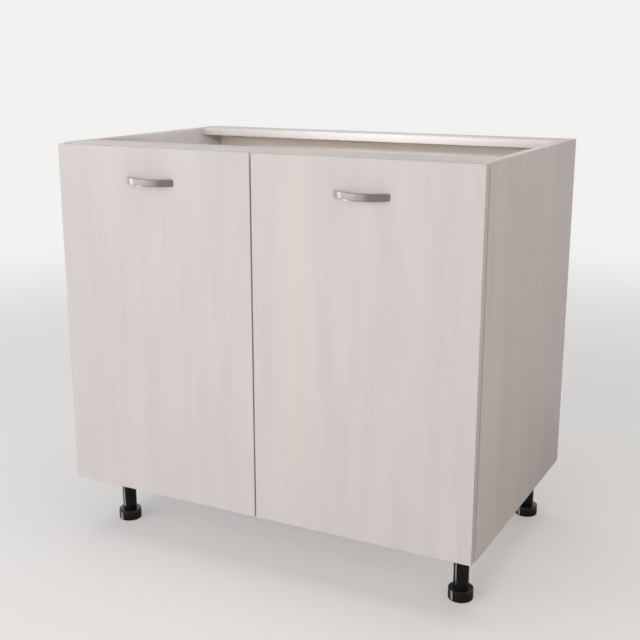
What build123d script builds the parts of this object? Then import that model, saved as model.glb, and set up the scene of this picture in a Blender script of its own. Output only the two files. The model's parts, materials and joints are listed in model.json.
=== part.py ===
"""Sink base cabinet: an open-topped carcass on adjustable legs, with two overlay doors.

The frame is in millimetres: X across the width, -Y towards the person in front, +Z up.
The origin lies on the floor, in the middle of the cabinet's footprint.
"""
from build123d import *
from math import acos, atan2, cos, hypot, pi, radians, sin
import os

os.makedirs("parts", exist_ok=True)

# ---------------------------------------------------------------- driving dimensions

# Carcass
cabinet_width = 900
carcass_height = 720
carcass_depth = 560  # over the back board
leg_height = 125  # floor to the underside of the bottom panel
board = 16
rail_width = 80
back_board = 3
back_board_inset = 2  # the back board stays this far inside the carcass outline

# Doors
door_board = 18
door_gap = 3  # between a door's back and the carcass
door_side_reveal = 1
door_top_reveal = 2
door_bottom_reveal = 2
door_centre_gap = 3
door_edge_radius = 1

# Bow handles
handle_spacing = 96  # between the two screws
handle_projection = 26
handle_height = 14
handle_thickness = 4.5
handle_foot = 14  # each foot's length, with the screw in its middle
handle_corner_radius = 4
handle_edge_radius = 1.5
handle_drop = 64  # door's top edge to the handle's centre line
handle_thread_depth = 4
handle_thread_play = 0.3
handle_screw_radius = 1.95
handle_screw_head_radius = 4
handle_screw_head = 2.2
handle_hole_radius = 2.5

# Door bumpers
bumper_radius = 4
bumper_inset = 12  # from the door's inner edge
bumper_clearance = 0.3

# Concealed hinges: the cup
hinge_inset = 100  # door's top and bottom edges to the hinge centres
cup_radius = 17.5
cup_depth = 12
cup_floor = 0.6
cup_wall = 0.8
cup_edge_distance = 5  # door's outer edge to the rim of the cup
cup_clearance = 0.1
flange_radius = 19
flange_thickness = 1.2
ear_radius = 6
ear_offset = 6  # towards the middle of the door
cup_screw_spacing = 48
cup_screw_radius = 1.8
cup_screw_length = 12
cup_screw_head_radius = 3.6
cup_screw_head = 1.4

# Concealed hinges: pivots of the outer and the inner link in the cup, from the cup's rim and floor
outer_pivot_from_rim = 4.9
outer_pivot_over_floor = 6.2
inner_pivot_from_rim = 10.2
inner_pivot_over_floor = 4.4

# Concealed hinges: pivots in the arm, from the side panel's inner face and its front edge
outer_pivot_from_panel = 11.2
outer_pivot_behind_front = 7
inner_pivot_from_panel = 18.9
inner_pivot_before_front = 8.75

# Concealed hinges: links
outer_link_lead = radians(93)  # how far the hook leaves its chord
outer_link_bend = 9.3
outer_link_width = 2.5
outer_link_half = 2.6
outer_eye_radius = 2.6
inner_link_lead = radians(38)
inner_link_bend = 7.8
inner_link_width = 2.8
inner_link_plate = 1.6
inner_link_stub = 1.6
inner_eye_radius = 2.4
pin_radius = 1.25
pin_clearance = 0.05
link_clearance = 0.6  # between a link's plate and its neighbours
link_side_clearance = 0.4
cup_bearing_length = 2.5

# Concealed hinges: arm and mounting plate
arm_sheet = 1.2
arm_nose_radius = 2.8
arm_knuckle_radius = 3.2
arm_web_height = 14.8  # side panel's inner face to the inside of the arm's web
arm_lift = 4  # side panel's inner face to the arm's cheeks
arm_front = 13  # carcass front to where the arm's web starts
arm_rear = 71
plate_thickness = 2
plate_clearance = 0.3
plate_front = 22
plate_rear = 66
plate_wing_line = 37  # carcass front to the plate's screws
plate_wing_width = 14
plate_wing_span = 46
plate_wing_corner = 6.5
plate_screw_spacing = 32
plate_screw_radius = 1.75
plate_screw_length = 11
plate_screw_head_radius = 3.4
plate_screw_head = 1.6
arm_screw_radius = 2
arm_screw_head_radius = 3.8
arm_screw_head = 1.8
arm_screw_length = 8
arm_screw_line = 58  # carcass front to the screw that holds the arm

# Panel fittings
dowel_radius = 4
dowel_length = 30
dowel_in_side = 9.5
blind_hole_play = 0.5
cam_radius = 7.5
cam_cover = 3  # board left over the cam's pocket
cam_line = 24  # board end to the cam's axis
cam_bolt_radius = 3
cam_thread_radius = 2.45
cam_thread_length = 10.5
fitting_clearance = 0.05
bolt_channel_clearance = 0.6
rail_dowel_offset = 25
bolt_end_play = 0.6
bottom_cam_offset = 130
bottom_dowel_offset = 200

# Back board nails
nail_radius = 0.7
nail_length = 18
nail_head_radius = 1.8
nail_head = 0.6
nail_pitch = 110
nail_corner = 60  # carcass corner to the first nail

# Legs
leg_from_side = 55
front_leg_line = 85  # carcass front to the leg's axis
rear_leg_line = 42  # leg's axis to the carcass rear
socket_plate = 60
socket_plate_thickness = 4
socket_corner_radius = 6
socket_depth = 24
socket_wall = 3.5
socket_screw_spacing = 46
socket_screw_radius = 1.75
socket_screw_length = 14
socket_screw_head_radius = 3.6
socket_screw_head = 1.6
column_radius = 15
column_wall = 3.5
column_clearance = 0.05
column_top_wall = 4
foot_radius = 24.5
foot_height = 23
foot_edge = 1.5
spindle_length = 62
spindle_clearance = 0.1
foot_stop_gap = 0.3

# ---------------------------------------------------------------- derived places

total_depth = handle_projection + door_board + door_gap + carcass_depth
rear_y = total_depth / 2
door_front_y = handle_projection - total_depth / 2
door_back_y = door_front_y + door_board
carcass_front_y = door_back_y + door_gap
panel_rear_y = rear_y - back_board
panel_depth = panel_rear_y - carcass_front_y
panel_mid_y = (panel_rear_y + carcass_front_y) / 2
carcass_bottom_z = leg_height
carcass_top_z = leg_height + carcass_height
carcass_mid_z = (carcass_bottom_z + carcass_top_z) / 2
inner_x = cabinet_width / 2 - board

door_bottom_z = carcass_bottom_z + door_bottom_reveal
door_top_z = carcass_top_z - door_top_reveal
door_height = door_top_z - door_bottom_z
door_outer_x = cabinet_width / 2 - door_side_reveal
door_inner_x = door_centre_gap / 2
door_width = door_outer_x - door_inner_x
door_mid_x = (door_outer_x + door_inner_x) / 2
door_mid_z = (door_top_z + door_bottom_z) / 2
handle_z = door_top_z - handle_drop
handle_length = handle_spacing + handle_foot

cup_rim_x = door_outer_x - cup_edge_distance
cup_x = cup_rim_x - cup_radius
cup_floor_y = door_back_y - cup_depth + cup_floor
hinge_heights = (door_bottom_z + hinge_inset, door_top_z - hinge_inset)
inner_plate_start = outer_link_half + link_clearance
inner_plate_end = inner_plate_start + inner_link_plate
arm_half_inner = inner_plate_end + link_side_clearance
arm_half_outer = arm_half_inner + arm_sheet
cup_pocket_half = inner_plate_end + inner_link_stub + link_side_clearance
arm_web_x = inner_x - arm_web_height

# The hinges' pivots in plan, as (X, Y), on the right-hand side
outer_cup_pivot = (cup_rim_x - outer_pivot_from_rim, cup_floor_y + outer_pivot_over_floor)
inner_cup_pivot = (cup_rim_x - inner_pivot_from_rim, cup_floor_y + inner_pivot_over_floor)
outer_arm_pivot = (inner_x - outer_pivot_from_panel, carcass_front_y + outer_pivot_behind_front)
inner_arm_pivot = (inner_x - inner_pivot_from_panel, carcass_front_y - inner_pivot_before_front)

cam_height = board - cam_cover - blind_hole_play
rail_z = carcass_top_z - board / 2
bottom_z = carcass_bottom_z + board / 2
front_rail_y = carcass_front_y + rail_width / 2
rear_rail_y = panel_rear_y - rail_width / 2

leg_x = cabinet_width / 2 - leg_from_side
leg_lines = {"front": carcass_front_y + front_leg_line, "rear": rear_y - rear_leg_line}

# Looking from the carcass towards the doors' backs: local x is X, local y is Z
door_back_plane = Plane(origin=(0, door_back_y, 0), x_dir=(1, 0, 0), z_dir=(0, -1, 0))
back_board_plane = Plane(origin=(0, panel_rear_y, 0), x_dir=(-1, 0, 0), z_dir=(0, 1, 0))
# On the right side panel's inner face: local x is Y, local y is Z
side_plane = Plane(origin=(inner_x, 0, 0), x_dir=(0, 1, 0), z_dir=(1, 0, 0))


def save(part, label):
    """Label a finished piece and write its file."""
    part.label = label
    export_step(part, f"parts/{label}.step")


def save_pair(part, name):
    """Write a right-hand piece and its mirror image."""
    save(part, f"{name}_right")
    save(mirror(part, about=Plane.YZ), f"{name}_left")


def mirrored(spots):
    """The places of one side and their mirror images across the middle of the cabinet."""
    return list(spots) + [(-x, *rest) for x, *rest in spots]


# ---------------------------------------------------------------- back board nails

nail_x = inner_x + board / 2
nail_row_half = cabinet_width / 2 - nail_corner
nail_column_half = carcass_height / 2 - nail_corner
nails_in_row = 1 + round(2 * nail_row_half / nail_pitch)
nails_in_column = 1 + round(2 * nail_column_half / nail_pitch)


def spread(half, count):
    """Evenly spaced places from -half to half."""
    return [half * (2 * index / (count - 1) - 1) for index in range(count)]


nail_spots = [(side * nail_x, carcass_mid_z + z)
              for side in (1, -1) for z in spread(nail_column_half, nails_in_column)]
nail_spots += [(x, z) for z in (bottom_z, rail_z) for x in spread(nail_row_half, nails_in_row)]
nail_face = back_board_plane.offset(back_board)

# Their flat heads are driven flush with the back board
with BuildPart() as back_panel_nails:
    with BuildSketch(nail_face) as heads:
        with Locations(*nail_spots):
            Circle(nail_head_radius)
    extrude(amount=-nail_head)
    with BuildSketch(nail_face) as shanks:
        with Locations(*nail_spots):
            Circle(nail_radius)
    extrude(amount=-nail_length)
save(back_panel_nails.part, "back_panel_nails")

with BuildPart() as nail_bores:
    with BuildSketch(nail_face) as bores:
        with Locations(*nail_spots):
            Circle(nail_radius + fitting_clearance)
    extrude(amount=-(nail_length + blind_hole_play))
    with BuildSketch(nail_face) as head_recesses:
        with Locations(*nail_spots):
            Circle(nail_head_radius + fitting_clearance)
    extrude(amount=-nail_head)

# ---------------------------------------------------------------- carcass panels

# Where the boards' ends meet the right side panel, as (Y, Z)
dowel_spots = [(panel_mid_y + offset, bottom_z) for offset in (-bottom_dowel_offset, 0, bottom_dowel_offset)]
dowel_spots += [(y + offset, rail_z) for y in (front_rail_y, rear_rail_y)
                for offset in (-rail_dowel_offset, rail_dowel_offset)]
bottom_cam_lines = (panel_mid_y - bottom_cam_offset, panel_mid_y + bottom_cam_offset)
cam_spots = [(y, bottom_z) for y in bottom_cam_lines]
cam_spots += [(y, rail_z) for y in (front_rail_y, rear_rail_y)]

plate_screw_spots = [(carcass_front_y + plate_wing_line, z + offset) for z in hinge_heights
                     for offset in (-plate_screw_spacing / 2, plate_screw_spacing / 2)]

with BuildPart() as side_panel:
    with BuildSketch(side_plane) as outline:
        with Locations((panel_mid_y, carcass_mid_z)):
            Rectangle(panel_depth, carcass_height)
    extrude(amount=board)
    with BuildSketch(side_plane) as dowel_holes:
        with Locations(*dowel_spots):
            Circle(dowel_radius + fitting_clearance)
    extrude(amount=dowel_in_side + blind_hole_play, mode=Mode.SUBTRACT)
    with BuildSketch(side_plane) as bolt_holes:
        with Locations(*cam_spots):
            Circle(cam_thread_radius + fitting_clearance)
    extrude(amount=cam_thread_length + blind_hole_play, mode=Mode.SUBTRACT)
    with BuildSketch(side_plane) as plate_holes:
        with Locations(*plate_screw_spots):
            Circle(plate_screw_radius + fitting_clearance)
    extrude(amount=plate_screw_length - plate_thickness + blind_hole_play, mode=Mode.SUBTRACT)
    add(nail_bores.part, mode=Mode.SUBTRACT)
save_pair(side_panel.part, "side_panel")


def board_end_bores(y_dowels, y_cams, z):
    """The dowel holes, bolt channels and cam pockets at both ends of a flat board."""
    with BuildPart() as bores:
        for side in (1, -1):
            end = Plane(origin=(side * inner_x, 0, z), x_dir=(0, 1, 0), z_dir=(-side, 0, 0))
            along = [(y, 0) for y in y_dowels]
            across = [(y, 0) for y in y_cams]
            with BuildSketch(end):
                with Locations(*along):
                    Circle(dowel_radius + fitting_clearance)
            extrude(amount=dowel_length - dowel_in_side + blind_hole_play)
            with BuildSketch(end):
                with Locations(*across):
                    Circle(cam_bolt_radius + bolt_channel_clearance)
            extrude(amount=cam_line)
        with BuildSketch(Plane.XY.offset(z - board / 2)):
            with Locations(*mirrored([(inner_x - cam_line, y) for y in y_cams])):
                Circle(cam_radius + fitting_clearance)
        extrude(amount=cam_height + blind_hole_play)
    return bores.part


socket_screw_offsets = [(dx * socket_screw_spacing / 2, dy * socket_screw_spacing / 2)
                        for dx in (-1, 1) for dy in (-1, 1)]
leg_spots = [(side * leg_x, y) for side in (1, -1) for y in leg_lines.values()]
socket_screw_spots = [(x + dx, y + dy) for x, y in leg_spots for dx, dy in socket_screw_offsets]

bottom_dowel_lines = [y for y, z in dowel_spots if z == bottom_z]
bottom_bores = board_end_bores(bottom_dowel_lines, bottom_cam_lines, bottom_z)

with BuildPart() as bottom_panel:
    with BuildSketch(Plane.XY.offset(carcass_bottom_z)) as outline:
        with Locations((0, panel_mid_y)):
            Rectangle(2 * inner_x, panel_depth)
    extrude(amount=board)
    add([bottom_bores, nail_bores.part], mode=Mode.SUBTRACT)
    with BuildSketch(Plane.XY.offset(carcass_bottom_z)) as leg_holes:
        with Locations(*socket_screw_spots):
            Circle(socket_screw_radius + fitting_clearance)
    extrude(amount=socket_screw_length - socket_plate_thickness + blind_hole_play, mode=Mode.SUBTRACT)
save(bottom_panel.part, "bottom_panel")


def rail(y, label):
    """A flat top rail between the sides, flush with the top of the carcass."""
    bores = board_end_bores([y - rail_dowel_offset, y + rail_dowel_offset], [y], rail_z)
    with BuildPart() as top_rail:
        with BuildSketch(Plane.XY.offset(rail_z - board / 2)):
            with Locations((0, y)):
                Rectangle(2 * inner_x, rail_width)
        extrude(amount=board)
        add([bores, nail_bores.part], mode=Mode.SUBTRACT)
    save(top_rail.part, label)


rail(front_rail_y, "front_rail")
rail(rear_rail_y, "rear_rail")

# ---------------------------------------------------------------- back board

with BuildPart() as back_panel:
    with BuildSketch(back_board_plane) as outline:
        with Locations((0, carcass_mid_z)):
            Rectangle(cabinet_width - 2 * back_board_inset, carcass_height - 2 * back_board_inset)
    extrude(amount=back_board)
    add(nail_bores.part, mode=Mode.SUBTRACT)
save(back_panel.part, "back_panel")

# ---------------------------------------------------------------- dowels, cams and bolts

with BuildPart() as dowels:
    with BuildSketch(side_plane.offset(dowel_in_side)) as right_ends:
        with Locations(*dowel_spots):
            Circle(dowel_radius)
    extrude(amount=-dowel_length)
    mirror(about=Plane.YZ)
save(dowels.part, "dowels")

with BuildPart() as cams:
    for y, z in cam_spots:
        with BuildSketch(Plane.XY.offset(z - board / 2)):
            with Locations((inner_x - cam_line, y)):
                Circle(cam_radius)
        extrude(amount=cam_height)
    with BuildSketch(side_plane.offset(-cam_line)) as bolt_slots:
        with Locations(*cam_spots):
            Circle(cam_bolt_radius + bolt_channel_clearance)
    extrude(amount=cam_line, mode=Mode.SUBTRACT)
    mirror(about=Plane.YZ)
save(cams.part, "cams")

with BuildPart() as cam_bolts:
    with BuildSketch(side_plane) as threads:
        with Locations(*cam_spots):
            Circle(cam_thread_radius)
    extrude(amount=cam_thread_length)
    with BuildSketch(side_plane) as shanks:
        with Locations(*cam_spots):
            Circle(cam_bolt_radius)
    extrude(amount=bolt_end_play - cam_line)
    mirror(about=Plane.YZ)
save(cam_bolts.part, "cam_bolts")

# ---------------------------------------------------------------- legs


def leg_socket(x, y, label):
    """A plate under the bottom panel with a collar that holds the leg's column."""
    with BuildPart() as socket:
        with BuildSketch(Plane.XY.offset(carcass_bottom_z)):
            with Locations((x, y)):
                RectangleRounded(socket_plate, socket_plate, socket_corner_radius)
        extrude(amount=-socket_plate_thickness)
        with BuildSketch(Plane.XY.offset(carcass_bottom_z)):
            with Locations((x, y)):
                Circle(column_radius + column_clearance + socket_wall)
        extrude(amount=-socket_depth)
        with BuildSketch(Plane.XY.offset(carcass_bottom_z - socket_depth)):
            with Locations((x, y)):
                Circle(column_radius + column_clearance)
        extrude(amount=socket_depth - socket_plate_thickness, mode=Mode.SUBTRACT)
        with BuildSketch(Plane.XY.offset(carcass_bottom_z)):
            with Locations(*[(x + dx, y + dy) for dx, dy in socket_screw_offsets]):
                Circle(socket_screw_radius + fitting_clearance)
        extrude(amount=-socket_plate_thickness, mode=Mode.SUBTRACT)
    save(socket.part, label)


def leg_column(x, y, label):
    """The fixed tube of a leg, closed at the top, which the foot's spindle screws into."""
    top = carcass_bottom_z - socket_plate_thickness
    bottom = foot_height + foot_stop_gap
    with BuildPart() as column:
        with BuildSketch(Plane.XY.offset(bottom)):
            with Locations((x, y)):
                Circle(column_radius)
        extrude(amount=top - bottom)
        with BuildSketch(Plane.XY.offset(bottom)):
            with Locations((x, y)):
                Circle(column_radius - column_wall)
        extrude(amount=top - bottom - column_top_wall, mode=Mode.SUBTRACT)
    save(column.part, label)


def leg_foot(x, y, label):
    """The round adjusting foot, turned in one piece with its spindle."""
    spindle_radius = column_radius - column_wall - spindle_clearance
    with BuildPart() as foot:
        with BuildSketch(Plane(origin=(x, y, 0), x_dir=(1, 0, 0), z_dir=(0, -1, 0))):
            with BuildLine():
                Polyline(
                    (0, 0),
                    (foot_radius - foot_edge, 0),
                    (foot_radius, foot_edge),
                    (foot_radius, foot_height - foot_edge),
                    (foot_radius - foot_edge, foot_height),
                    (spindle_radius, foot_height),
                    (spindle_radius, foot_height + spindle_length),
                    (0, foot_height + spindle_length),
                    close=True,
                )
            make_face()
        revolve(axis=Axis((x, y, 0), (0, 0, 1)))
    save(foot.part, label)


for side, side_name in ((1, "right"), (-1, "left")):
    for row_name, leg_y in leg_lines.items():
        leg_socket(side * leg_x, leg_y, f"leg_socket_{row_name}_{side_name}")
        leg_column(side * leg_x, leg_y, f"leg_column_{row_name}_{side_name}")
        leg_foot(side * leg_x, leg_y, f"leg_foot_{row_name}_{side_name}")

with BuildPart() as leg_socket_screws:
    socket_face = Plane.XY.offset(carcass_bottom_z - socket_plate_thickness)
    with BuildSketch(socket_face) as heads:
        with Locations(*socket_screw_spots):
            Circle(socket_screw_head_radius)
    extrude(amount=-socket_screw_head)
    with BuildSketch(socket_face) as shanks:
        with Locations(*socket_screw_spots):
            Circle(socket_screw_radius)
    extrude(amount=socket_screw_length)
save(leg_socket_screws.part, "leg_socket_screws")

# ---------------------------------------------------------------- doors, handles and bumpers

cup_spots = [(cup_x, z) for z in hinge_heights]
cup_screw_spots = [(cup_x - ear_offset, z + side * cup_screw_spacing / 2)
                   for z in hinge_heights for side in (1, -1)]
handle_screw_spots = [(door_mid_x + side * handle_spacing / 2, handle_z) for side in (1, -1)]

with BuildPart() as door:
    with BuildSketch(door_back_plane) as outline:
        with Locations((door_mid_x, door_mid_z)):
            Rectangle(door_width, door_height)
    extrude(amount=door_board)
    fillet(door.faces().sort_by(Axis.Y)[0].edges(), radius=door_edge_radius)
    with BuildSketch(door_back_plane) as cup_holes:
        with Locations(*cup_spots):
            Circle(cup_radius + cup_clearance)
    extrude(amount=cup_depth + cup_clearance, mode=Mode.SUBTRACT)
    with BuildSketch(door_back_plane) as cup_screw_holes:
        with Locations(*cup_screw_spots):
            Circle(cup_screw_radius + fitting_clearance)
    extrude(amount=cup_screw_length - flange_thickness + blind_hole_play, mode=Mode.SUBTRACT)
    with BuildSketch(door_back_plane) as handle_holes:
        with Locations(*handle_screw_spots):
            Circle(handle_hole_radius)
    extrude(amount=door_board, mode=Mode.SUBTRACT)
save_pair(door.part, "door")

with BuildPart() as handle:
    # Half of the bow in plan, from its middle to a foot on the door
    half = handle_length / 2
    bow_outside = (0, -handle_projection)
    bow_inside = (0, handle_thickness - handle_projection)
    with BuildSketch(Plane(origin=(door_mid_x, door_front_y, handle_z - handle_height / 2))) as bow:
        with BuildLine():
            TangentArc(bow_outside, (half, 0), tangent=(1, 0))
            Line((half, 0), (half - handle_foot, 0))
            TangentArc(bow_inside, (half - handle_foot, 0), tangent=(1, 0))
            Line(bow_outside, bow_inside)
        make_face()
        mirror(about=Plane.YZ)
    extrude(amount=handle_height)
    front_face = handle.faces().sort_by(Axis.Y)[0]
    fillet(front_face.edges().filter_by(GeomType.CIRCLE), radius=handle_edge_radius)
    # Seen from the front its ends are rounded
    with BuildSketch(Plane(origin=(door_mid_x, door_front_y, handle_z), x_dir=(1, 0, 0), z_dir=(0, -1, 0))):
        RectangleRounded(handle_length, handle_height, handle_corner_radius)
    extrude(amount=handle_projection, mode=Mode.INTERSECT)
    with BuildSketch(Plane(origin=(0, door_front_y, 0), x_dir=(1, 0, 0), z_dir=(0, -1, 0))) as threads:
        with Locations(*handle_screw_spots):
            Circle(handle_screw_radius + fitting_clearance)
    extrude(amount=handle_thread_depth + handle_thread_play, mode=Mode.SUBTRACT)
save_pair(handle.part, "handle")

with BuildPart() as handle_screws:
    with BuildSketch(door_back_plane) as heads:
        with Locations(*handle_screw_spots):
            Circle(handle_screw_head_radius)
    extrude(amount=-handle_screw_head)
    with BuildSketch(door_back_plane) as shanks:
        with Locations(*handle_screw_spots):
            Circle(handle_screw_radius)
    extrude(amount=door_board + handle_thread_depth)
save_pair(handle_screws.part, "handle_screws")

with BuildPart() as door_bumpers:
    with BuildSketch(door_back_plane) as pads:
        with Locations(*[(door_inner_x + bumper_inset, z) for z in (bottom_z, rail_z)]):
            Circle(bumper_radius)
    extrude(amount=-(door_gap - bumper_clearance))
save_pair(door_bumpers.part, "door_bumpers")

# ---------------------------------------------------------------- concealed hinges


def on_circle(centre, radius, angle):
    """The point at an angle on a circle in plan."""
    return (centre[0] + radius * cos(angle), centre[1] + radius * sin(angle))


def hook_path(cup_pivot, arm_pivot, lead, bend):
    """A link's centre line: an arc that leaves the chord by an angle, then a straight to the arm.

    Returns the start, the middle and the end of the arc. It curls clockwise, seen from above.
    """
    chord = atan2(arm_pivot[1] - cup_pivot[1], arm_pivot[0] - cup_pivot[0])
    begin = chord + lead + pi / 2
    centre = on_circle(cup_pivot, bend, begin - pi)
    reach = hypot(arm_pivot[0] - centre[0], arm_pivot[1] - centre[1])
    bearing = atan2(arm_pivot[1] - centre[1], arm_pivot[0] - centre[0])
    leave = bearing + acos(bend / reach)
    turn = (begin - leave) % (2 * pi)
    return cup_pivot, on_circle(centre, bend, begin - turn / 2), on_circle(centre, bend, leave)


def link_profile(cup_pivot, arm_pivot, lead, bend, width, eye_radius):
    """The plan of a hooked link with an eye at each end."""
    first, middle, last = hook_path(cup_pivot, arm_pivot, lead, bend)
    with BuildSketch(Plane.XY) as profile:
        with BuildLine():
            ThreePointArc(first, middle, last)
            Line(last, arm_pivot)
            offset(amount=width / 2, side=Side.BOTH)
        make_face()
        with Locations(cup_pivot, arm_pivot):
            Circle(eye_radius)
    return profile.sketch


def outer_link(z, label):
    """The hooked link between the arm and the cup, with its two riveted pins."""
    profile = link_profile(outer_cup_pivot, outer_arm_pivot, outer_link_lead, outer_link_bend,
                           outer_link_width, outer_eye_radius)
    with BuildPart() as link:
        with BuildSketch(Plane.XY.offset(z - outer_link_half)):
            add(profile)
        extrude(amount=2 * outer_link_half)
        with BuildSketch(Plane.XY.offset(z)):
            with Locations(outer_arm_pivot):
                Circle(pin_radius)
        extrude(amount=arm_half_outer, both=True)
        with BuildSketch(Plane.XY.offset(z)):
            with Locations(outer_cup_pivot):
                Circle(pin_radius)
        extrude(amount=cup_pocket_half + cup_bearing_length, both=True)
    save_pair(link.part, label)


def inner_link(z, label):
    """The pair of plates beside the outer link, each with a stub pin at both ends."""
    profile = link_profile(inner_cup_pivot, inner_arm_pivot, inner_link_lead, inner_link_bend,
                           inner_link_width, inner_eye_radius)
    with BuildPart() as link:
        for side in (1, -1):
            with BuildSketch(Plane.XY.offset(z + side * inner_plate_start)):
                add(profile)
            extrude(amount=side * inner_link_plate)
            with BuildSketch(Plane.XY.offset(z + side * inner_plate_start)):
                with Locations(inner_arm_pivot):
                    Circle(pin_radius)
            extrude(amount=side * (arm_half_outer - inner_plate_start))
            with BuildSketch(Plane.XY.offset(z + side * inner_plate_start)):
                with Locations(inner_cup_pivot):
                    Circle(pin_radius)
            extrude(amount=side * (inner_link_plate + inner_link_stub))
    save_pair(link.part, label)


def hinge_arm(z, label):
    """The channel-shaped arm: two cheeks that carry the links' pins, joined by a web."""
    front = carcass_front_y + arm_front
    rear = carcass_front_y + arm_rear
    web_outer_x = arm_web_x - arm_sheet
    cheek_x = inner_x - arm_lift
    with BuildPart() as arm:
        for side in (1, -1):
            with BuildSketch(Plane.XY.offset(z + side * arm_half_inner)):
                with Locations(inner_arm_pivot):
                    nose = Circle(arm_nose_radius)
                with Locations(outer_arm_pivot):
                    knuckle = Circle(arm_knuckle_radius)
                make_hull(nose.edges() + knuckle.edges())
                with Locations(((web_outer_x + cheek_x) / 2, (front + rear) / 2)):
                    cheek = Rectangle(cheek_x - web_outer_x, rear - front)
                make_hull(knuckle.edges() + cheek.edges())
                with Locations(inner_arm_pivot, outer_arm_pivot):
                    Circle(pin_radius + pin_clearance, mode=Mode.SUBTRACT)
            extrude(amount=side * arm_sheet)
        with BuildSketch(Plane.XY.offset(z)):
            with Locations(((web_outer_x + arm_web_x) / 2, (front + rear) / 2)):
                Rectangle(arm_sheet, rear - front)
        extrude(amount=arm_half_outer, both=True)
        with BuildSketch(Plane(origin=(web_outer_x, 0, 0), x_dir=(0, 1, 0), z_dir=(1, 0, 0))):
            with Locations((carcass_front_y + arm_screw_line, z)):
                Circle(arm_screw_radius + fitting_clearance)
        extrude(amount=arm_sheet, mode=Mode.SUBTRACT)
    save_pair(arm.part, label)


def hinge_plate(z, label):
    """The mounting plate: wings on the side panel and a rail that the arm is screwed to."""
    front = carcass_front_y + plate_front
    rear = carcass_front_y + plate_rear
    rail_half = arm_half_inner - plate_clearance
    with BuildPart() as plate:
        with BuildSketch(side_plane):
            with Locations((carcass_front_y + plate_wing_line, z)):
                RectangleRounded(plate_wing_width, plate_wing_span, plate_wing_corner)
            with Locations(((front + rear) / 2, z)):
                Rectangle(rear - front, 2 * arm_half_outer)
        extrude(amount=-plate_thickness)
        with BuildSketch(side_plane):
            with Locations(((front + rear) / 2, z)):
                Rectangle(rear - front, 2 * rail_half)
        extrude(amount=-(arm_web_height - plate_clearance))
        with BuildSketch(side_plane):
            with Locations(*[(carcass_front_y + plate_wing_line, z + offset)
                             for offset in (-plate_screw_spacing / 2, plate_screw_spacing / 2)]):
                Circle(plate_screw_radius + fitting_clearance)
        extrude(amount=-plate_thickness, mode=Mode.SUBTRACT)
        with BuildSketch(side_plane.offset(-(arm_web_height - plate_clearance))):
            with Locations((carcass_front_y + arm_screw_line, z)):
                Circle(arm_screw_radius + fitting_clearance)
        extrude(amount=arm_screw_length, mode=Mode.SUBTRACT)
    save_pair(plate.part, label)


def hinge_cup(z, label):
    """The cup that is sunk into the door, with its flange, ears and pivot bearings."""
    back = Plane(origin=(cup_x, door_back_y, z), x_dir=(1, 0, 0), z_dir=(0, -1, 0))
    with BuildPart() as cup:
        with BuildSketch(back):
            Circle(cup_radius)
        extrude(amount=cup_depth)
        with BuildSketch(back):
            Circle(flange_radius)
            with Locations(*[(-ear_offset, side * cup_screw_spacing / 2) for side in (1, -1)]):
                ears = Circle(ear_radius)
            make_hull()
            with Locations(*[(-ear_offset, side * cup_screw_spacing / 2) for side in (1, -1)]):
                Circle(cup_screw_radius + fitting_clearance, mode=Mode.SUBTRACT)
        extrude(amount=-flange_thickness)
        with BuildSketch(back.offset(-flange_thickness)):
            Circle(cup_radius - cup_wall)
            Rectangle(2 * cup_radius, 2 * cup_pocket_half, mode=Mode.INTERSECT)
        extrude(amount=flange_thickness + cup_depth - cup_floor, mode=Mode.SUBTRACT)
        with BuildSketch(Plane.XY.offset(z)):
            with Locations(outer_cup_pivot):
                Circle(pin_radius + pin_clearance)
        extrude(amount=cup_pocket_half + cup_bearing_length + plate_clearance, both=True,
                mode=Mode.SUBTRACT)
    save_pair(cup.part, label)


for hinge_z, level in zip(hinge_heights, ("bottom", "top")):
    outer_link(hinge_z, f"outer_link_{level}")
    inner_link(hinge_z, f"inner_link_{level}")
    hinge_arm(hinge_z, f"hinge_arm_{level}")
    hinge_plate(hinge_z, f"hinge_plate_{level}")
    hinge_cup(hinge_z, f"hinge_cup_{level}")

with BuildPart() as cup_screws:
    with BuildSketch(door_back_plane.offset(-flange_thickness)) as heads:
        with Locations(*cup_screw_spots):
            Circle(cup_screw_head_radius)
    extrude(amount=-cup_screw_head)
    with BuildSketch(door_back_plane.offset(-flange_thickness)) as shanks:
        with Locations(*cup_screw_spots):
            Circle(cup_screw_radius)
    extrude(amount=cup_screw_length)
save_pair(cup_screws.part, "cup_screws")

with BuildPart() as hinge_screws:
    # Two screws hold each plate to the side panel, and one holds the arm to the plate
    with BuildSketch(side_plane.offset(-plate_thickness)) as plate_heads:
        with Locations(*plate_screw_spots):
            Circle(plate_screw_head_radius)
    extrude(amount=-plate_screw_head)
    with BuildSketch(side_plane.offset(-plate_thickness)) as plate_shanks:
        with Locations(*plate_screw_spots):
            Circle(plate_screw_radius)
    extrude(amount=plate_screw_length)
    arm_face = side_plane.offset(-(arm_web_height + arm_sheet))
    arm_screw_spots = [(carcass_front_y + arm_screw_line, z) for z in hinge_heights]
    with BuildSketch(arm_face) as arm_heads:
        with Locations(*arm_screw_spots):
            Circle(arm_screw_head_radius)
    extrude(amount=-arm_screw_head)
    with BuildSketch(arm_face) as arm_shanks:
        with Locations(*arm_screw_spots):
            Circle(arm_screw_radius)
    extrude(amount=arm_screw_length)
    mirror(about=Plane.YZ)
save(hinge_screws.part, "hinge_screws")
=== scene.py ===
"""The looks of a sink base cabinet: pale grained boards, bow handles, concealed hinges and black legs.

All places are in metres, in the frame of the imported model: X across the width, -Y to the front, +Z up.
"""
import json
import math

import bmesh
import bpy
from bpy.props import FloatProperty, FloatVectorProperty, IntProperty, PointerProperty
from mathutils import Matrix, Vector

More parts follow.
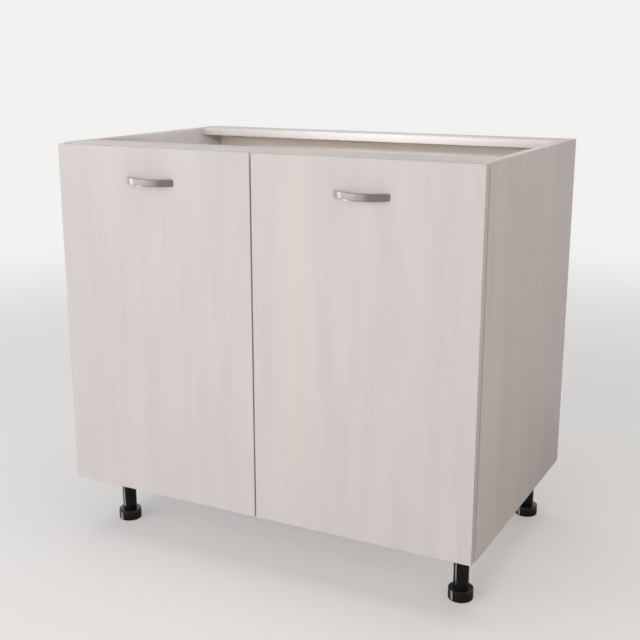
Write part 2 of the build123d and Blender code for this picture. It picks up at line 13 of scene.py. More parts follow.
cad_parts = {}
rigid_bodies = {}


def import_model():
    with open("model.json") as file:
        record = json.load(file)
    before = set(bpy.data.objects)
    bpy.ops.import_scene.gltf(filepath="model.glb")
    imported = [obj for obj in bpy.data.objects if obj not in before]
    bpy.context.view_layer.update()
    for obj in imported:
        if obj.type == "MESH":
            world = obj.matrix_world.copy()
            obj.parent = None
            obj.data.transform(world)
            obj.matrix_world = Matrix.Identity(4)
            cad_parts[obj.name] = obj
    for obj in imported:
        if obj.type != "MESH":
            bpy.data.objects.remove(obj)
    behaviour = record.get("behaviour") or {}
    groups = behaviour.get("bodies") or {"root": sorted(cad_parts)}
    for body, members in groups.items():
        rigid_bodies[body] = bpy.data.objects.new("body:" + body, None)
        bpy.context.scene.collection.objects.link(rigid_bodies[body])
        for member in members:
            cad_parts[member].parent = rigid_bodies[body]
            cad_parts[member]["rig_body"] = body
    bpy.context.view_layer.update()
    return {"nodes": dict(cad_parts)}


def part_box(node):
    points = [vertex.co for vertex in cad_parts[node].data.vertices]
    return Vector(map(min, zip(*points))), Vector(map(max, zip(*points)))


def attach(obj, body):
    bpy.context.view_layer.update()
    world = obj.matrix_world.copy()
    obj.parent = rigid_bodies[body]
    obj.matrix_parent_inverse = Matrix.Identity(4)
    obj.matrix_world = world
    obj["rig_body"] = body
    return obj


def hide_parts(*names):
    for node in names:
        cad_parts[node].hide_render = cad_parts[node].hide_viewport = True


bl_info = {
    "name": "Sink Base Cabinet",
    "version": (1, 0, 0),
    "blender": (4, 5, 0),
    "location": "3D View > Sidebar > Cabinet",
    "description": "Dresses a sink base cabinet around its construction model and sets up its studio",
    "category": "Object",
}

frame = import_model()

SIDES = ("left", "right")
ROWS = ("front", "rear")
LEVELS = ("bottom", "top")

QUARTER_TURN = math.pi / 2
MERGE_DISTANCE = 0.000001
CORNER_REACH = 0.00001
COPLANAR_DEGREES = 0.4
SHARP_DEGREES = 30.0
BEVEL_SEGMENTS = 2


# ---------------------------------------- settings

COLOUR = {"subtype": "COLOR", "min": 0.0, "max": 1.0}
LENGTH = {"subtype": "DISTANCE", "unit": "LENGTH"}
TURN = {"subtype": "ANGLE", "unit": "ROTATION"}
POWER = {"subtype": "POWER", "unit": "POWER", "min": 0.0}


class CabinetFinish(bpy.types.PropertyGroup):
    """Colours and sheens of the cabinet's surfaces."""

    decor_light: FloatVectorProperty(
        name="Decor light", description="Pale ground colour of the boards' wood decor",
        default=(0.668, 0.634, 0.614), **COLOUR,
    )
    decor_dark: FloatVectorProperty(
        name="Decor dark", description="Colour of the darker streaks in the wood decor",
        default=(0.515, 0.470, 0.440), **COLOUR,
    )
    decor_cool: FloatVectorProperty(
        name="Decor cool", description="Greyer tone that the decor drifts to in broad patches",
        default=(0.622, 0.594, 0.598), **COLOUR,
    )
    decor_pore: FloatVectorProperty(
        name="Decor pore", description="Colour printed in the decor's fine pores",
        default=(0.400, 0.345, 0.300), **COLOUR,
    )
    # A paler colour painted along the boards' rounded edges, as a painted highlight
    decor_edge_highlight: FloatVectorProperty(
        name="Decor edge highlight", description="Paler tone along the rounded edges of the boards",
        default=(0.800, 0.765, 0.735), **COLOUR,
    )
    decor_roughness: FloatProperty(
        name="Decor roughness", description="Roughness of the laminate's satin surface",
        default=0.46, subtype="FACTOR", min=0.0, max=1.0,
    )
    back_lacquer: FloatVectorProperty(
        name="Back lacquer", description="Warm pale lacquer on the inside of the back board",
        default=(0.880, 0.800, 0.735), **COLOUR,
    )
    hardboard_brown: FloatVectorProperty(
        name="Hardboard", description="Bare outside of the back board",
        default=(0.265, 0.150, 0.080), **COLOUR,
    )
    plastic_black: FloatVectorProperty(
        name="Leg plastic", description="Black moulded plastic of the legs",
        default=(0.0085, 0.0080, 0.0080), **COLOUR,
    )
    chrome: FloatVectorProperty(
        name="Handle metal", description="Satin chrome of the bow handles",
        default=(0.645, 0.612, 0.624), **COLOUR,
    )
    nickel: FloatVectorProperty(
        name="Hinge metal", description="Nickel plated steel of the hinges",
        default=(0.560, 0.545, 0.515), **COLOUR,
    )
    zinc: FloatVectorProperty(
        name="Screw metal", description="Zinc plated steel of screws, nails and bolts",
        default=(0.540, 0.550, 0.560), **COLOUR,
    )
    beech: FloatVectorProperty(
        name="Dowel wood", description="Beech of the dowels",
        default=(0.560, 0.370, 0.200), **COLOUR,
    )
    pad: FloatVectorProperty(
        name="Bumper pad", description="Milky soft plastic of the door bumpers",
        default=(0.620, 0.620, 0.600), **COLOUR,
    )


class CabinetSizes(bpy.types.PropertyGroup):
    """Sizes of the details that the construction model leaves plain."""

    board_edge: FloatProperty(
        name="Board edge", description="Rounding of the boards' banded edges",
        default=0.0004, min=0.0, **LENGTH,
    )
    band_thickness: FloatProperty(
        name="Band", description="Thickness of the edge bands, whose joint shows as a fine line",
        default=0.0009, min=0.0, **LENGTH,
    )
    metal_edge: FloatProperty(
        name="Metal edge", description="Rounding of the pressed hinge parts' edges",
        default=0.00018, min=0.0, **LENGTH,
    )
    plastic_edge: FloatProperty(
        name="Plastic edge", description="Rounding of the moulded leg parts' edges",
        default=0.0005, min=0.0, **LENGTH,
    )
    spindle_radius: FloatProperty(
        name="Spindle", description="Radius over the feet's adjusting thread",
        default=0.0114, min=0.001, **LENGTH,
    )
    thread_pitch: FloatProperty(
        name="Thread pitch", description="Pitch of the feet's adjusting thread",
        default=0.004, min=0.001, **LENGTH,
    )
    thread_depth: FloatProperty(
        name="Thread depth", description="Depth of the feet's adjusting thread",
        default=0.0014, min=0.0001, **LENGTH,
    )
    turning_steps: IntProperty(
        name="Turning steps", description="Faces round each foot", default=96, min=12,
    )


class CabinetStudio(bpy.types.PropertyGroup):
    """The plain studio and the camera."""

    backdrop_colour: FloatVectorProperty(
        name="Backdrop", description="White that the floor and the wall turn to behind the cabinet",
        default=(0.89, 0.885, 0.88), **COLOUR,
    )
    floor_colour: FloatVectorProperty(
        name="Floor", description="Pale colour of the floor and the round wall",
        default=(0.88, 0.87, 0.86), **COLOUR,
    )
    camera_place: FloatVectorProperty(
        name="Camera place", description="Where the camera stands",
        default=(0.9940, -1.9117, 1.0157), subtype="TRANSLATION", unit="LENGTH",
    )
    camera_azimuth: FloatProperty(
        name="Camera azimuth", description="Turn of the camera about the vertical",
        default=math.radians(27.47), **TURN,
    )
    camera_pitch: FloatProperty(
        name="Camera pitch", description="How far the camera looks down",
        default=math.radians(14.27), **TURN,
    )
    camera_lens: FloatProperty(
        name="Lens", description="Focal length on a 36 mm wide sensor",
        default=58.64, subtype="DISTANCE_CAMERA", unit="CAMERA",
    )
    key_power: FloatProperty(
        name="Key light", description="Power of the large soft lamp at the front left",
        default=36.0, **POWER,
    )
    fill_power: FloatProperty(
        name="Fill light", description="Power of the soft lamp at the front right",
        default=13.5, **POWER,
    )
    front_power: FloatProperty(
        name="Front light", description="Power of the wide low lamp that reaches over the front rail",
        default=64.0, **POWER,
    )
    top_power: FloatProperty(
        name="Top light", description="Power of the large soft lamp overhead",
        default=50.0, **POWER,
    )
    inside_power: FloatProperty(
        name="Inside light", description="Power of the narrow lamp above the opening, for the inside",
        default=1.35, **POWER,
    )
    sky_strength: FloatProperty(
        name="Sky", description="Strength of the even light from all round", default=0.20, min=0.0,
    )


# ---------------------------------------- modelling helpers


def select_only(piece):
    """Deselect everything and make one object the active one."""
    bpy.ops.object.select_all(action="DESELECT")
    piece.select_set(True)
    bpy.context.view_layer.objects.active = piece


def edit(piece):
    """Open a piece in edit mode, selected all over."""
    select_only(piece)
    bpy.ops.object.mode_set(mode="EDIT")
    bpy.ops.mesh.select_all(action="SELECT")


def leave_edit():
    """Go back to object mode."""
    bpy.ops.object.mode_set(mode="OBJECT")


def settle(name):
    """Name the active object and put its place into its mesh."""
    piece = bpy.context.active_object
    select_only(piece)
    bpy.ops.object.transform_apply(location=True, rotation=True, scale=True)
    piece.name = name
    piece.data.name = name
    return piece


def recalculate(piece):
    """Merge doubles and turn all faces outwards."""
    edit(piece)
    bpy.ops.mesh.remove_doubles(threshold=MERGE_DISTANCE)
    bpy.ops.mesh.normals_make_consistent(inside=False)
    leave_edit()


def smooth(piece, degrees=35.0):
    """Shade smooth across all but the sharp edges."""
    select_only(piece)
    bpy.ops.object.shade_smooth_by_angle(angle=math.radians(degrees))


def apply_modifier(piece, kind, **settings):
    """Add a modifier with its settings and apply it."""
    select_only(piece)
    modifier = piece.modifiers.new(kind.lower(), kind)
    for name, value in settings.items():
        setattr(modifier, name, value)
    bpy.ops.object.modifier_apply(modifier=modifier.name)


def round_edges(piece, width):
    """Round the sharp edges."""
    apply_modifier(piece, "BEVEL", width=width, segments=BEVEL_SEGMENTS, limit_method="ANGLE",
                   angle_limit=math.radians(SHARP_DEGREES))


def round_outline(piece, corners, width):
    """Round only the edges along a board's outside corners, and leave those of its bores."""
    low, high = corners
    weights = piece.data.attributes.new("bevel_weight_edge", "FLOAT", "EDGE")
    for edge in piece.data.edges:
        ends = [piece.data.vertices[index].co for index in edge.vertices]
        # An edge along an outside corner lies on two of the board's walls
        walls = sum(all(abs(end[axis] - wall) < CORNER_REACH for end in ends)
                    for axis in range(3) for wall in (low[axis], high[axis]))
        weights.data[edge.index].value = 1.0 if walls == 2 else 0.0
    apply_modifier(piece, "BEVEL", width=width, segments=BEVEL_SEGMENTS, limit_method="WEIGHT")


def new_box(low, high):
    """A box between two corners."""
    low, high = Vector(low), Vector(high)
    bpy.ops.mesh.primitive_cube_add(size=1.0, location=(low + high) / 2)
    bpy.context.active_object.scale = high - low
    return settle("box")


def cut(piece, tool):
    """Cut a piece with another, which is then gone."""
    apply_modifier(piece, "BOOLEAN", operation="DIFFERENCE", solver="EXACT", object=tool)
    bpy.data.objects.remove(tool)


def cut_cross(piece, centre, bottom, top, half_length, half_width):
    """Cut a cross recess, which is two slots, between two heights."""
    x, y = centre
    for wide, deep in ((half_length, half_width), (half_width, half_length)):
        cut(piece, new_box((x - wide, y - deep, bottom), (x + wide, y + deep, top)))


def join(name, piece, *others):
    """Join other objects into a piece and name it."""
    select_only(piece)
    for other in others:
        other.select_set(True)
    bpy.ops.object.join()
    piece.name = name
    return piece


def new_ring(name, radius, height, steps, fill_type):
    """A circle about the Z axis, open in edit mode."""
    bpy.ops.object.select_all(action="DESELECT")
    bpy.ops.mesh.primitive_circle_add(vertices=steps, radius=radius, fill_type=fill_type,
                                      location=(0, 0, height))
    ring = settle(name)
    edit(ring)
    return ring


def extrude_rings(stations):
    """Draw the selected ring at the first station out through the others, each a (radius, height)."""
    radius, height = stations[0]
    for next_radius, next_height in stations[1:]:
        bpy.ops.mesh.extrude_region_move(TRANSFORM_OT_translate={"value": (0, 0, next_height - height)})
        ratio = next_radius / radius
        bpy.ops.transform.resize(value=(ratio, ratio, 1), center_override=(0, 0, next_height))
        radius, height = next_radius, next_height


def turned(name, stations, steps):
    """A piece turned about the Z axis from its stations, with a face at each end."""
    piece = new_ring(name, *stations[0], steps, "NGON")
    extrude_rings(stations)
    leave_edit()
    recalculate(piece)
    return piece


def dome(radius, height, profile):
    """Stations of a dome, from a profile in shares of its radius and height."""
    return [(radius * out, height * up) for out, up in profile]


def copy_of(piece, name, matrix):
    """A copy with its own mesh, moved by a matrix."""
    twin = piece.copy()
    twin.data = piece.data.copy()
    twin.data.transform(matrix)
    twin.name = name
    twin.data.name = name
    bpy.context.scene.collection.objects.link(twin)
    return twin


def clean_copy(node, name):
    """A copy of a CAD node with its triangles merged into whole faces."""
    piece = bpy.data.objects.new(name, frame["nodes"][node].data.copy())
    piece.data.name = name
    bpy.context.scene.collection.objects.link(piece)
    select_only(piece)
    bpy.ops.mesh.customdata_custom_splitnormals_clear()
    edit(piece)
    bpy.ops.mesh.remove_doubles(threshold=MERGE_DISTANCE)
    bpy.ops.mesh.dissolve_limited(angle_limit=math.radians(COPLANAR_DEGREES))
    leave_edit()
    return piece


def solids_of(node):
    """The boxes of a CAD node's separate solids, as (lowest corner, highest corner)."""
    mesh = bmesh.new()
    mesh.from_mesh(frame["nodes"][node].data)
    bmesh.ops.remove_doubles(mesh, verts=mesh.verts, dist=MERGE_DISTANCE)
    waiting = set(mesh.verts)
    boxes = []
    while waiting:
        solid, rim = set(), [waiting.pop()]
        while rim:
            vertex = rim.pop()
            solid.add(vertex)
            for edge in vertex.link_edges:
                other = edge.other_vert(vertex)
                if other in waiting:
                    waiting.discard(other)
                    rim.append(other)
        low = Vector([min(vertex.co[axis] for vertex in solid) for axis in range(3)])
        high = Vector([max(vertex.co[axis] for vertex in solid) for axis in range(3)])
        boxes.append((low, high))
    mesh.free()
    boxes.sort(key=lambda box: tuple(round(value, 5) for value in box[0]))
    return boxes


def dress(piece, material, slot, *nodes):
    """Give a new piece its material and let it ride in place of the CAD nodes it stands for."""
    piece.data.materials.clear()
    piece.data.materials.append(bpy.data.materials[material])
    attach(piece, frame["nodes"][nodes[0]]["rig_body"])
    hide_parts(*nodes)


def dress_node(node, material):
    """Give a CAD node that stays in view its material."""
    materials = frame["nodes"][node].data.materials
    materials.clear()
    materials.append(bpy.data.materials[material])


# ---------------------------------------- node helpers

FLOAT, VECTOR = "NodeSocketFloat", "NodeSocketVector"


def wire(tree, value, socket):
    """Feed an input from a socket, or set it to a constant."""
    if isinstance(value, bpy.types.NodeSocket):
        tree.links.new(value, socket)
    else:
        socket.default_value = value


def add_node(tree, kind, inputs, **settings):
    """Add a shader node with its settings and its inputs."""
    node = tree.nodes.new(kind)
    for name, value in settings.items():
        setattr(node, name, value)
    for name, value in inputs.items():
        wire(tree, value, node.inputs[name])
    return node


def calculate(tree, operation, first, second=0.0, clamp=False):
    """The result of a Math node."""
    inputs = {0: first, 1: second}
    return add_node(tree, "ShaderNodeMath", inputs, operation=operation, use_clamp=clamp).outputs[0]


def times(tree, value, factor):
    """One value times another."""
    return calculate(tree, "MULTIPLY", value, factor)


def times_plus(tree, value, factor, more):
    """One value times another, plus a third."""
    inputs = {0: value, 1: factor, 2: more}
    return add_node(tree, "ShaderNodeMath", inputs, operation="MULTIPLY_ADD").outputs[0]


def vector_math(tree, operation, first, second):
    """The vector result of a Vector Math node."""
    return add_node(tree, "ShaderNodeVectorMath", {0: first, 1: second}, operation=operation).outputs[0]


def blend_colours(tree, factor, first, second):
    """The result of a colour Mix node."""
    inputs = {0: factor, 6: first, 7: second}
    return add_node(tree, "ShaderNodeMix", inputs, data_type="RGBA").outputs[2]


def blend_vectors(tree, factor, first, second):
    """The result of a vector Mix node."""
    inputs = {0: factor, 4: first, 5: second}
    return add_node(tree, "ShaderNodeMix", inputs, data_type="VECTOR").outputs[1]


def spread_range(tree, value, low, high, to_low=0.0, to_high=1.0):
    """A value's stretch from low to high, eased and clamped."""
    inputs = {"Value": value, "From Min": low, "From Max": high, "To Min": to_low, "To Max": to_high}
    return add_node(tree, "ShaderNodeMapRange", inputs, interpolation_type="SMOOTHSTEP").outputs[0]


def eased(tree, mask, low, high):
    """A mask from 0 to 1 as a value from low to high, eased."""
    return spread_range(tree, mask, 0.0, 1.0, low, high)


def mapped(tree, vector, scale=(1, 1, 1), rotation=(0, 0, 0), location=(0, 0, 0)):
    """A vector through a Mapping node."""
    inputs = {"Vector": vector, "Scale": scale, "Rotation": rotation, "Location": location}
    return add_node(tree, "ShaderNodeMapping", inputs).outputs[0]


def noise(tree, vector, scale, detail=2.0, roughness=0.5):
    """The value of a Noise node, with so many cells to the metre along each axis."""
    cells = mapped(tree, vector, scale=scale)
    inputs = {"Vector": cells, "Scale": 1.0, "Detail": detail, "Roughness": roughness}
    return add_node(tree, "ShaderNodeTexNoise", inputs).outputs[0]


def grain_noise(tree, vector, across, along, **settings):
    """Noise that runs with the grain, in cells that are so many metres across and so many long in Z."""
    return noise(tree, vector, (1 / across, 1 / across, 1 / along), **settings)


def parts_of(tree, vector):
    """The three parts of a vector."""
    return add_node(tree, "ShaderNodeSeparateXYZ", {"Vector": vector}).outputs


def new_group(name, inputs, outputs):
    """An empty node group that puts out plain numbers, as (tree, what comes in, what goes out)."""
    tree = bpy.data.node_groups.new(name, "ShaderNodeTree")
    for socket, kind in inputs.items():
        tree.interface.new_socket(socket, in_out="INPUT", socket_type=kind)
    for socket in outputs:
        tree.interface.new_socket(socket, in_out="OUTPUT", socket_type=FLOAT)
    return tree, tree.nodes.new("NodeGroupInput").outputs, tree.nodes.new("NodeGroupOutput").inputs


def use_group(tree, name, inputs):
    """Place a node group in a material and return its outputs."""
    return add_node(tree, "ShaderNodeGroup", inputs, node_tree=bpy.data.node_groups[name]).outputs


def new_material(name, constants):
    """A Principled material, as (material, tree, the shader's inputs, the texture coordinates).

    Its constants are set on the shader's own sockets.
    """
    material = bpy.data.materials.new(name)
    material.use_nodes = True
    tree = material.node_tree
    tree.nodes.clear()
    shader = add_node(tree, "ShaderNodeBsdfPrincipled", constants)
    add_node(tree, "ShaderNodeOutputMaterial", {"Surface": shader.outputs[0]})
    return material, tree, shader.inputs, tree.nodes.new("ShaderNodeTexCoord").outputs


def colour(value, factor=1.0):
    """A colour, made darker or lighter by a factor, as red, green, blue and alpha."""
    return (*[part * factor for part in value], 1.0)


def add_relief(tree, shader, height, strength, distance):
    """Feed a shader's normal from a Bump node."""
    inputs = {"Height": height, "Strength": strength, "Distance": distance}
    wire(tree, add_node(tree, "ShaderNodeBump", inputs).outputs[0], shader["Normal"])


# ---------------------------------------- shared effects


def make_grain_group():
    """Printed wood grain that runs along Z: broad tones, streaks, fibres and pores."""
    outputs = ("Tone", "Streaks", "Fibres", "Pores")
    tree, entry, leave = new_group("Decor grain", {"Vector": VECTOR}, outputs)
    vector = entry["Vector"]
    sway_reach = 0.036
    sway = calculate(tree, "SUBTRACT", grain_noise(tree, vector, 0.16, 0.34), 0.5)
    sway = times(tree, sway, sway_reach)
    offset = add_node(tree, "ShaderNodeCombineXYZ", {"X": sway, "Y": sway}).outputs[0]
    bent = vector_math(tree, "ADD", vector, offset)

    tone = grain_noise(tree, bent, 0.130, 0.80)
    wide = grain_noise(tree, bent, 0.030, 0.36, detail=3.0, roughness=0.52)
    narrow = grain_noise(tree, bent, 0.0075, 0.15)
    fibres = grain_noise(tree, bent, 0.0011, 0.030, roughness=0.6)
    specks = grain_noise(tree, bent, 0.00075, 0.0085, detail=1.0)
    wide_mask = spread_range(tree, wide, 0.36, 0.72)
    narrow_mask = spread_range(tree, narrow, 0.50, 0.76)
    narrow_mask = times(tree, narrow_mask, spread_range(tree, tone, 0.30, 0.62))
    wide_share, narrow_share = 0.62, 0.45
    streaks = calculate(tree, "ADD", times(tree, wide_mask, wide_share),
                        times(tree, narrow_mask, narrow_share), clamp=True)
    pores = times(tree, spread_range(tree, specks, 0.62, 0.74), streaks)

    wire(tree, spread_range(tree, tone, 0.34, 0.66), leave["Tone"])
    wire(tree, streaks, leave["Streaks"])
    wire(tree, spread_range(tree, fibres, 0.30, 0.70), leave["Fibres"])
    wire(tree, pores, leave["Pores"])


def make_band_group():
    """Masks along a board's outline: the fine joint of the edge band, and a painted highlight along the
    rounded edges.
    """
    inputs = {"Vector": VECTOR, "Low": VECTOR, "High": VECTOR, "Band": FLOAT}
    tree, entry, leave = new_group("Board edges", inputs, ("Joint", "Rim"))
    joint_width, joint_core = 0.00025, 0.00005
    # The second pair of widths sets how far the painted highlight reaches in from each edge
    highlight_width, highlight_core = 0.0012, 0.0001
    vector = entry["Vector"]
    from_low = vector_math(tree, "SUBTRACT", vector, entry["Low"])
    from_high = vector_math(tree, "SUBTRACT", entry["High"], vector)
    nearest = vector_math(tree, "MINIMUM", from_low, from_high)
    # Of the three distances to the board's walls, the middle one is how far the nearest edge is
    x, y, z = parts_of(tree, nearest)
    pairs = [calculate(tree, "MAXIMUM", first, second) for first, second in ((x, y), (y, z), (z, x))]
    distance = calculate(tree, "MINIMUM", calculate(tree, "MINIMUM", pairs[0], pairs[1]), pairs[2])
    away = calculate(tree, "ABSOLUTE", calculate(tree, "SUBTRACT", distance, entry["Band"]))
    wire(tree, spread_range(tree, away, joint_width, joint_core), leave["Joint"])
    wire(tree, spread_range(tree, distance, highlight_width, highlight_core), leave["Rim"])


def make_handling_group():
    """Faint smears and dust from handling, at two scales."""
    tree, entry, leave = new_group("Handling", {"Vector": VECTOR}, ("Smears", "Dust"))
    smears = noise(tree, entry["Vector"], (9, 9, 14), detail=4.0, roughness=0.62)
    dust = noise(tree, entry["Vector"], (900, 900, 900), detail=1.0)
    wire(tree, spread_range(tree, smears, 0.36, 0.70), leave["Smears"])
    wire(tree, spread_range(tree, dust, 0.66, 0.78), leave["Dust"])


def make_plating_group():
    """Drawn lines and small blemishes of plated metal, with the lines along Z."""
    tree, entry, leave = new_group("Plated metal", {"Vector": VECTOR}, ("Lines", "Cloud"))
    lines = grain_noise(tree, entry["Vector"], 0.00022, 0.012, roughness=0.6)
    cloud = noise(tree, entry["Vector"], (140, 140, 140), detail=3.0)
    wire(tree, spread_range(tree, lines, 0.28, 0.72), leave["Lines"])
    wire(tree, spread_range(tree, cloud, 0.35, 0.68), leave["Cloud"])


# ---------------------------------------- materials


def decor_material(name, corners, flat, shift):
    """Pale wood decor on one board. Its grain stands upright, or runs along X on a flat board."""
    finish = bpy.context.scene.cabinet_finish
    band = bpy.context.scene.cabinet_sizes.band_thickness
    _, tree, shader, coordinates = new_material(name, {"Specular IOR Level": 0.42})
    place = coordinates["Object"]
    low, high = corners
    if flat:
        grain_vector = mapped(tree, place, rotation=(0, QUARTER_TURN, 0), location=shift)
    else:
        upright = mapped(tree, place, location=shift)
        # The bands on the top and bottom edges have their grain along the edge
        wide = high[0] - low[0] > high[1] - low[1]
        lengthwise = (0, QUARTER_TURN, 0) if wide else (QUARTER_TURN, 0, 0)
        on_edge = mapped(tree, place, rotation=lengthwise, location=shift)
        facing = calculate(tree, "ABSOLUTE", parts_of(tree, coordinates["Normal"])[2])
        facing_up = calculate(tree, "GREATER_THAN", facing, 0.7)
        grain_vector = blend_vectors(tree, facing_up, upright, on_edge)
    grain = use_group(tree, "Decor grain", {"Vector": grain_vector})
    edges = use_group(tree, "Board edges", {"Vector": place, "Low": low, "High": high, "Band": band})
    marks = use_group(tree, "Handling", {"Vector": place})

    # Each layer is printed over the last: its mask, its strength and its colour
    layers = (
        (grain["Tone"], 0.75, finish.decor_cool),
        (grain["Streaks"], 0.27, finish.decor_dark),
        (grain["Fibres"], 0.08, finish.decor_dark),
        (grain["Pores"], 0.22, finish.decor_pore),
        # The paler colour along the edges is a painted highlight, not the decor's own colour
        (edges["Rim"], 0.55, finish.decor_edge_highlight),
        (edges["Joint"], 0.40, finish.decor_pore),
    )
    print_colour = colour(finish.decor_light)
    for mask, strength, tint in layers:
        print_colour = blend_colours(tree, times(tree, mask, strength), print_colour, colour(tint))
    wire(tree, print_colour, shader["Base Color"])
    # Smears and fibres dull the sheen a little
    smear_share, fibre_share, brightest = 0.07, 0.05, finish.decor_roughness - 0.03
    sheen = times_plus(tree, marks["Smears"], smear_share, brightest)
    wire(tree, times_plus(tree, grain["Fibres"], fibre_share, sheen), shader["Roughness"])
    fibre_height = 0.35
    pored = calculate(tree, "SUBTRACT", times(tree, grain["Fibres"], fibre_height), grain["Pores"])
    grooved = calculate(tree, "SUBTRACT", pored, edges["Joint"])
    add_relief(tree, shader, grooved, strength=0.35, distance=0.00012)


def hardboard_material():
    """Back board: pale lacquer inside, bare brown fibre outside."""
    finish = bpy.context.scene.cabinet_finish
    _, tree, shader, coordinates = new_material("hardboard sheet", {"Specular IOR Level": 0.35})
    place = coordinates["Object"]
    outwards = calculate(tree, "GREATER_THAN", parts_of(tree, coordinates["Normal"])[1], 0.5)
    chips = noise(tree, place, (420, 420, 150), detail=4.0, roughness=0.7)
    clouds = noise(tree, place, (7, 7, 5), detail=4.0, roughness=0.6)
    specks = noise(tree, place, (1500, 1500, 500), detail=1.0)
    brown = colour(finish.hardboard_brown)
    light_brown = colour(finish.hardboard_brown, 1.75)
    dark_brown = colour(finish.hardboard_brown, 0.45)
    bare = blend_colours(tree, spread_range(tree, chips, 0.35, 0.68), brown, light_brown)
    cloudy = spread_range(tree, clouds, 0.3, 0.7)
    bare = blend_colours(tree, times(tree, cloudy, 0.35), bare, brown)
    specked = times(tree, spread_range(tree, specks, 0.62, 0.72), 0.6)
    bare = blend_colours(tree, specked, bare, dark_brown)
    pale, duller = colour(finish.back_lacquer), colour(finish.back_lacquer, 0.975)
    lacquer = blend_colours(tree, cloudy, pale, duller)
    wire(tree, blend_colours(tree, outwards, lacquer, bare), shader["Base Color"])
    inside_roughness, outside_roughness = 0.42, 0.78
    wire(tree, eased(tree, outwards, inside_roughness, outside_roughness), shader["Roughness"])
    add_relief(tree, shader, times(tree, chips, outwards), strength=0.5, distance=0.0002)


def plastic_material():
    """Black moulded plastic of the legs, glossy with faint dust."""
    finish = bpy.context.scene.cabinet_finish
    _, tree, shader, coordinates = new_material("black plastic", {"Specular IOR Level": 0.5})
    place = coordinates["Object"]
    marks = use_group(tree, "Handling", {"Vector": mapped(tree, place, scale=(4, 4, 4))})
    black, dust = colour(finish.plastic_black), (0.060, 0.055, 0.050, 1.0)
    dusty = blend_colours(tree, times(tree, marks["Dust"], 0.35), black, dust)
    wire(tree, dusty, shader["Base Color"])
    wire(tree, eased(tree, marks["Smears"], 0.15, 0.27), shader["Roughness"])
    ripple = noise(tree, place, (160, 160, 60))
    add_relief(tree, shader, ripple, strength=0.12, distance=0.0002)


def metal_material(name, tint, roughness, lines_along=(0, 0, 0), wear=0.08):
    """Plated metal with drawn lines. The lines run along Z before they are turned."""
    _, tree, shader, coordinates = new_material(name, {"Metallic": 1.0})
    vector = mapped(tree, coordinates["Object"], rotation=lines_along)
    lines, cloud = use_group(tree, "Plated metal", {"Vector": vector})
    mottled = times_plus(tree, cloud, wear * 4.5, times(tree, lines, wear * 4.0))
    wire(tree, blend_colours(tree, mottled, colour(tint), colour(tint, 0.80)), shader["Base Color"])
    clouded = times_plus(tree, cloud, wear, roughness - wear)
    wire(tree, times_plus(tree, lines, wear, clouded), shader["Roughness"])
    add_relief(tree, shader, lines, strength=wear * 0.75, distance=0.00005)


def beech_material():
    """Beech of the dowels, with short flecks along X."""
    beech = bpy.context.scene.cabinet_finish.beech
    _, tree, shader, coordinates = new_material("beech wood", {"Specular IOR Level": 0.3})
    lengthwise = mapped(tree, coordinates["Object"], rotation=(0, QUARTER_TURN, 0))
    flecks = mapped(tree, lengthwise, scale=(3, 3, 6))
    fibres = use_group(tree, "Decor grain", {"Vector": flecks})["Fibres"]
    wire(tree, blend_colours(tree, fibres, colour(beech), colour(beech, 0.72)), shader["Base Color"])
    wire(tree, eased(tree, fibres, 0.55, 0.70), shader["Roughness"])
    add_relief(tree, shader, fibres, strength=0.3, distance=0.0001)


def pad_material():
    """Milky soft plastic of the door bumpers."""
    pad = bpy.context.scene.cabinet_finish.pad
    constants = {"Specular IOR Level": 0.45, "Subsurface Weight": 0.25, "Subsurface Scale": 0.002}
    _, tree, shader, coordinates = new_material("bumper pad", constants)
    close = mapped(tree, coordinates["Object"], scale=(20, 20, 20))
    smears = use_group(tree, "Handling", {"Vector": close})["Smears"]
    wire(tree, blend_colours(tree, smears, colour(pad), colour(pad, 0.85)), shader["Base Color"])
    wire(tree, eased(tree, smears, 0.30, 0.45), shader["Roughness"])


# ---------------------------------------- operators


class CABINET_OT_materials(bpy.types.Operator):
    """Build the shared effects and the materials that more than one piece uses"""

    bl_idname = "cabinet.build_materials"
    bl_label = "Build materials"

    def execute(self, context):
        finish = context.scene.cabinet_finish
        make_grain_group()
        make_band_group()
        make_handling_group()
        make_plating_group()
        hardboard_material()
        plastic_material()
        beech_material()
        pad_material()
        metal_material("satin chrome", finish.chrome, 0.22, lines_along=(0, QUARTER_TURN, 0), wear=0.03)
        metal_material("nickel plate", finish.nickel, 0.30)
        metal_material("zinc plate", finish.zinc, 0.36)
        return {"FINISHED"}


# Each board's slot, whether it lies flat, and where its stretch of the printed grain starts
BOARDS = {
    "door_left": ("door_board", False, (3.1, 0.4, 0.0)),
    "door_right": ("door_board", False, (1.7, 0.9, 0.6)),
    "side_panel_left": ("carcass_board", False, (0.6, 2.3, 1.1)),
    "side_panel_right": ("carcass_board", False, (5.2, 1.4, 0.3)),
    "bottom_panel": ("carcass_board", True, (0.9, 3.3, 2.0)),
    "front_rail": ("carcass_board", True, (1.3, 0.7, 4.1)),
    "rear_rail": ("carcass_board", True, (2.2, 5.7, 3.0)),
}


class CABINET_OT_boards(bpy.types.Operator):
    """Round the boards' edges and give each its own stretch of wood decor"""

    bl_idname = "cabinet.dress_boards"
    bl_label = "Dress boards"

    def execute(self, context):
        sizes = context.scene.cabinet_sizes
        for node, (slot, flat, shift) in BOARDS.items():
            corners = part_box(node)
            board = clean_copy(node, f"{node}_board")
            round_outline(board, corners, sizes.board_edge)
            smooth(board, degrees=40)
            decor = f"decor {node}"
            decor_material(decor, corners, flat, shift)
            dress(board, decor, slot, node)
        back = clean_copy("back_panel", "back_board")
        smooth(back)
        dress(back, "hardboard sheet", "hardboard", "back_panel")
        return {"FINISHED"}


